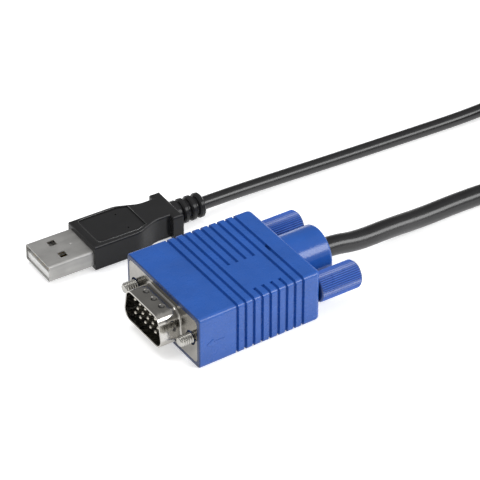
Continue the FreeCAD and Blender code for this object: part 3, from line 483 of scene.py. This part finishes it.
def usb_bead():
    """A rounded bead along the edge of the panel sunk in the top of the USB plug's grip."""
    half = [(BEAD_REAR, BEAD_REAR_SIDE), (BEAD_SHOULDER, BEAD_SIDE), (BEAD_MIDDLE, BEAD_SIDE)]
    for corner in (0, 45, 90):
        inset = BEAD_CORNER * (1.0 - math.sin(math.radians(corner)))
        drop = BEAD_CORNER * (1.0 - math.cos(math.radians(corner)))
        half.append((BEAD_FRONT + inset, BEAD_SIDE - drop))
    outline = []
    for along, across in half + [(along, -across) for along, across in reversed(half)]:
        x = USB_TIP[0] + along * math.cos(USB_TURN) - across * math.sin(USB_TURN)
        y = USB_TIP[1] + along * math.sin(USB_TURN) + across * math.cos(USB_TURN)
        outline.append((x, y, BEAD_UP))
    curve, spline = round_bar("usb_bead", "POLY", outline, BEAD_RADIUS)
    curve.bevel_resolution = 3
    spline.use_cyclic_u = True
    return add_piece("usb_bead", curve, "root", bead_black)


def strap_line(diameter):
    """Where a strap's inner face runs in the coil's section, as (out, up, facing) places.

    It starts at the inside of the coil, goes over the three cords there and under them, comes back up
    outside its own start, and ends lapped over the top.
    """
    top = (-diameter / 2, 1.5 * diameter)
    low = (-diameter / 2, 0.5 * diameter)
    outer = (diameter / 2, 0.5 * diameter)
    inside = (-diameter / 2, diameter)
    end = (top[0] + LAP_END * diameter, top[1] - LAP_END * diameter)
    # Each leg: from, to, the facing at both ends in degrees, and the strap's layers under both ends
    legs = [
        (inside, top, 180, 180, 0, 0),
        (top, top, 180, 45, 0, 0),
        (top, outer, 45, 45, 0, 0),
        (outer, outer, 45, -90, 0, 0),
        (outer, low, -90, -90, 0, 0),
        (low, low, -90, -180, 0, 0),
        (low, inside, 180, 180, 0, 1),
        (inside, top, 180, 180, 1, 1),
        (top, top, 180, 45, 1, 1),
        (top, end, 45, 45, 1, 1),
    ]
    places = []
    for start, stop, first, last, under, over in legs:
        for i in range(LEG_STEPS):
            part = i / LEG_STEPS
            facing = math.radians(first + (last - first) * part)
            away = diameter / 2 + STRAP_CLEARANCE
            away += (STRAP_THICKNESS + LAP_CLEARANCE) * (under + (over - under) * part)
            out = start[0] + (stop[0] - start[0]) * part + away * math.cos(facing)
            up = start[1] + (stop[1] - start[1]) * part + away * math.sin(facing)
            places.append((out, up, facing))
    return places


def strap_section(half_width):
    """Outline of a strap's section with its edges broken, as (across, part of the thickness) places."""
    flat = half_width - STRAP_EDGE
    inner = [(-half_width, 0.25), (-flat, 0.0), (flat, 0.0), (half_width, 0.25)]
    return inner + [(across, 1.0 - rise) for across, rise in reversed(inner)]


def coil_strap(name, node, coil, angle):
    """A hook-and-loop strap drawn tight round a coil, its rounded end lapped over the top."""
    line = strap_line(coil.diameter)
    runs = [math.dist(a[:2], b[:2]) for a, b in zip(line, line[1:])]
    phi = math.radians(angle)
    rings = []
    for i, (out, up, facing) in enumerate(line):
        rounding = max(0.0, 1.0 - sum(runs[i:]) / STRAP_HALF_WIDTH)
        half_width = max(STRAP_TIP_HALF_WIDTH, STRAP_HALF_WIDTH * math.sqrt(1.0 - rounding * rounding))
        ring = []
        for across, rise in strap_section(half_width):
            reach = coil.radius + out + rise * STRAP_THICKNESS * math.cos(facing)
            x = coil.centre[0] + reach * math.cos(phi) - across * math.sin(phi)
            y = coil.centre[1] + reach * math.sin(phi) + across * math.cos(phi)
            z = FLOOR + COIL_LIFT + up + rise * STRAP_THICKNESS * math.sin(facing)
            ring.append((x, y, z))
        rings.append(ring)
    strap = add_piece(name, skinned(name, rings, smooth=True), "root", tie_black)
    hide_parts(node)
    return strap


threaded_screw("left", SCREW_SIDE)
threaded_screw("right", -SCREW_SIDE)
hood_arrow()
bead = usb_bead()
vga_strap = coil_strap("vga_strap", "vga_coil_tie", VGA_COIL, angle=60)
usb_strap = coil_strap("usb_strap", "usb_coil_tie", USB_COIL, angle=-90)


# Cords, in millimetres above the surface that they lie on


def wound(coil, entry, way, total, moves):
    """Control points of a coil wound two wide and two high.

    It starts at the angle entry and goes way (1 counter-clockwise, -1 clockwise) through total
    degrees. moves gives the three spans of turning in which the cord goes in, up and out again.
    """
    points = []
    for i in range(int(total / COIL_STEP) + 2):
        swept = (i - 0.5) * COIL_STEP
        inward, upward, outward = (
            min(1.0, max(0.0, (swept - low) / (high - low))) for low, high in moves
        )
        reach = coil.radius + coil.diameter * (0.5 - inward + outward)
        reach /= math.cos(math.radians(COIL_STEP / 2))
        angle = math.radians(entry + way * swept)
        x = coil.centre[0] + reach * math.cos(angle)
        y = coil.centre[1] + reach * math.sin(angle)
        points.append((x, y, COIL_LIFT + coil.diameter * (0.5 + upward)))
    return points


def cord(name, points, diameter):
    """A round cord on one smooth spline with the route's points as its control points."""
    curve, spline = round_bar(name, "NURBS", points, diameter / 2)
    curve.bevel_resolution = 6
    curve.resolution_u = 6
    curve.use_fill_caps = True
    spline.order_u = 3
    spline.use_endpoint_u = True
    return add_piece(name, curve, "root", cord_black)


vga_moves = ((305, 345), (605, 650), (910, 955))
vga_turns = wound(VGA_COIL, entry=-120, way=1, total=1110, moves=vga_moves)
vga_route = [
    (36, 0, 7.55),
    (48.2, 0, 7.55),
    (56, -0.1, 5.6),
    (67, 0.8, 4.95),
    (78, 2.4, 2.9),
    (90, 3, 2.65),
    (104, 2.2, 2.7),
    (113.29, -3.36, 3.35),
    (127.58, -11.61, 3.35),
    *vga_turns,
    (176.04, -24.6, 8.55),
    (190.04, -24.6, 8.55),
    (207, -17.4, 8.2),
    (236, -7.5, 8.5),
    (258, -7.5, 8.5),
]
vga_cord = cord("vga_cord", vga_route, VGA_COIL.diameter)
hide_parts("vga_cord_lead", "vga_cord_coil", "vga_cord_tail")

usb_moves = ((300, 340), (590, 640), (940, 985))
usb_turns = wound(USB_COIL, entry=90, way=-1, total=1080, moves=usb_moves)
usb_route = [
    (18.15, 37.05, 3.7),
    (41.14, 36.65, 3.7),
    (55, 37.8, 2.2),
    (76, 37.1, 1.76),
    (98, 35.9, 1.8),
    (120, 34.9, 1.76),
    (140, 36.8, 1.8),
    (160, 40, 2.1),
    (183.45, 41, 2.5),
    (200.45, 41, 2.5),
    *usb_turns,
    (225.55, 41, 6),
    (233.55, 41, 6),
    (243, 38.5, 8.5),
    (258, 38.5, 8.5),
]
usb_cord = cord("usb_cord", usb_route[::-1], USB_COIL.diameter)
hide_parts("usb_cord_lead", "usb_cord_coil", "usb_cord_tail")


# Studio, in metres: a pale floor, a white surround and soft light

FLOOR_REACH = 3.0
FLOOR_PAPER = (0.9, 0.9, 0.9, 1.0)
FLOOR_GLOW = (0.44, 0.44, 0.44, 1.0)
DARK_SIDE = (0.44, 0.68, 0.585)
DARK_SIDE_SPAN = (0.68, 0.97)
ROOM_LEVEL = 0.52
DARK_SIDE_LEVEL = 0.24
WHITE_BAND_TOP = (0.09, 0.14)
LAMP_AIM = Vector((0.03, 0.02, 0.0))
CAMERA_TARGET = Vector((0.03134, 0.014388, -0.00022))
CAMERA_AZIMUTH = math.radians(-33.033)
CAMERA_ELEVATION = math.radians(35.766)
CAMERA_DISTANCE = 0.7


def seen_directly(tree):
    """1 for camera, mirror and see-through rays, 0 for rays that carry light."""
    path = tree.nodes.new("ShaderNodeLightPath")
    seen = path.outputs["Is Camera Ray"]
    for kind in ("Is Glossy Ray", "Is Transmission Ray"):
        seen = combine(tree, "MAXIMUM", seen, path.outputs[kind])
    return seen


def make_floor():
    """A wide sheet of white paper, which keeps the shadows and looks white where it has none."""
    mesh = bpy.data.meshes.new("floor")
    signs = [(-1, -1), (1, -1), (1, 1), (-1, 1)]
    corners = [(x * FLOOR_REACH, y * FLOOR_REACH, FLOOR * MM) for x, y in signs]
    mesh.from_pydata(corners, [], [(0, 1, 2, 3)])
    floor = bpy.data.objects.new("floor", mesh)
    bpy.context.scene.collection.objects.link(floor)
    mat = bpy.data.materials.new("floor")
    mat.use_nodes = True
    tree = mat.node_tree
    tree.nodes.clear()
    paper = tree.nodes.new("ShaderNodeBsdfDiffuse")
    paper.inputs["Color"].default_value = FLOOR_PAPER
    glow = tree.nodes.new("ShaderNodeEmission")
    glow.inputs["Color"].default_value = FLOOR_GLOW
    tree.links.new(seen_directly(tree), glow.inputs["Strength"])
    both = tree.nodes.new("ShaderNodeAddShader")
    tree.links.new(paper.outputs[0], both.inputs[0])
    tree.links.new(glow.outputs[0], both.inputs[1])
    out = tree.nodes.new("ShaderNodeOutputMaterial")
    tree.links.new(both.outputs[0], out.inputs["Surface"])
    mesh.materials.append(mat)


def make_world():
    """White low down all round, a dim room above it, darkest on the far side from the camera."""
    world = bpy.data.worlds.new("surround")
    bpy.context.scene.world = world
    world.use_nodes = True
    tree = world.node_tree
    where = tree.nodes.new("ShaderNodeTexCoord").outputs["Generated"]
    facing = tree.nodes.new("ShaderNodeVectorMath")
    facing.operation = "DOT_PRODUCT"
    facing.inputs[1].default_value = DARK_SIDE
    tree.links.new(where, facing.inputs[0])
    height = tree.nodes.new("ShaderNodeSeparateXYZ")
    tree.links.new(where, height.inputs[0])
    dark = facing.outputs["Value"]
    room = remap(tree, dark, DARK_SIDE_SPAN, ROOM_LEVEL, DARK_SIDE_LEVEL, "SMOOTHSTEP")
    band = remap(tree, height.outputs["Z"], WHITE_BAND_TOP, 1.0, 0.0, "SMOOTHSTEP")
    backdrop = tree.nodes["Background"]
    backdrop.inputs["Color"].default_value = (1.0, 1.0, 1.0, 1.0)
    tree.links.new(combine(tree, "MAXIMUM", room, band), backdrop.inputs["Strength"])


def axes(right, up, back):
    """The turn of a lamp or camera from its own three directions."""
    return Matrix((right, up, back)).transposed().to_4x4()


def softbox(name, place, long_side, width, height, power):
    """A rectangular lamp that faces the plugs, with its long side as near as may be to a direction."""
    data = bpy.data.lights.new(name, "AREA")
    data.shape = "RECTANGLE"
    data.size = width
    data.size_y = height
    data.energy = power
    item = bpy.data.objects.new(name, data)
    back = (Vector(place) - LAMP_AIM).normalized()
    up = back.cross(Vector(long_side)).normalized()
    item.matrix_world = Matrix.Translation(place) @ axes(up.cross(back), up, back)
    bpy.context.scene.collection.objects.link(item)


def make_camera():
    """The photograph's point of view."""
    level = math.cos(CAMERA_ELEVATION)
    right = Vector((math.cos(CAMERA_AZIMUTH), math.sin(CAMERA_AZIMUTH), 0.0))
    back = Vector((right.y * level, -right.x * level, math.sin(CAMERA_ELEVATION)))
    data = bpy.data.cameras.new("camera")
    data.sensor_width = 36
    data.lens = 212.26
    data.clip_start = 0.01
    item = bpy.data.objects.new("camera", data)
    place = Matrix.Translation(CAMERA_TARGET + back * CAMERA_DISTANCE)
    item.matrix_world = place @ axes(right, back.cross(right), back)
    bpy.context.scene.collection.objects.link(item)
    bpy.context.scene.camera = item


make_floor()
make_world()
softbox("overhead", (-0.05, 0.2, 0.8), long_side=(1, 0, 0), width=0.6, height=0.4, power=3.0)
softbox("side", (0.6, -0.58, 0.47), long_side=(0.34, 0.18, -0.225), width=0.9, height=0.4, power=7.4)
make_camera()
bpy.context.scene.view_settings.view_transform = "Standard"
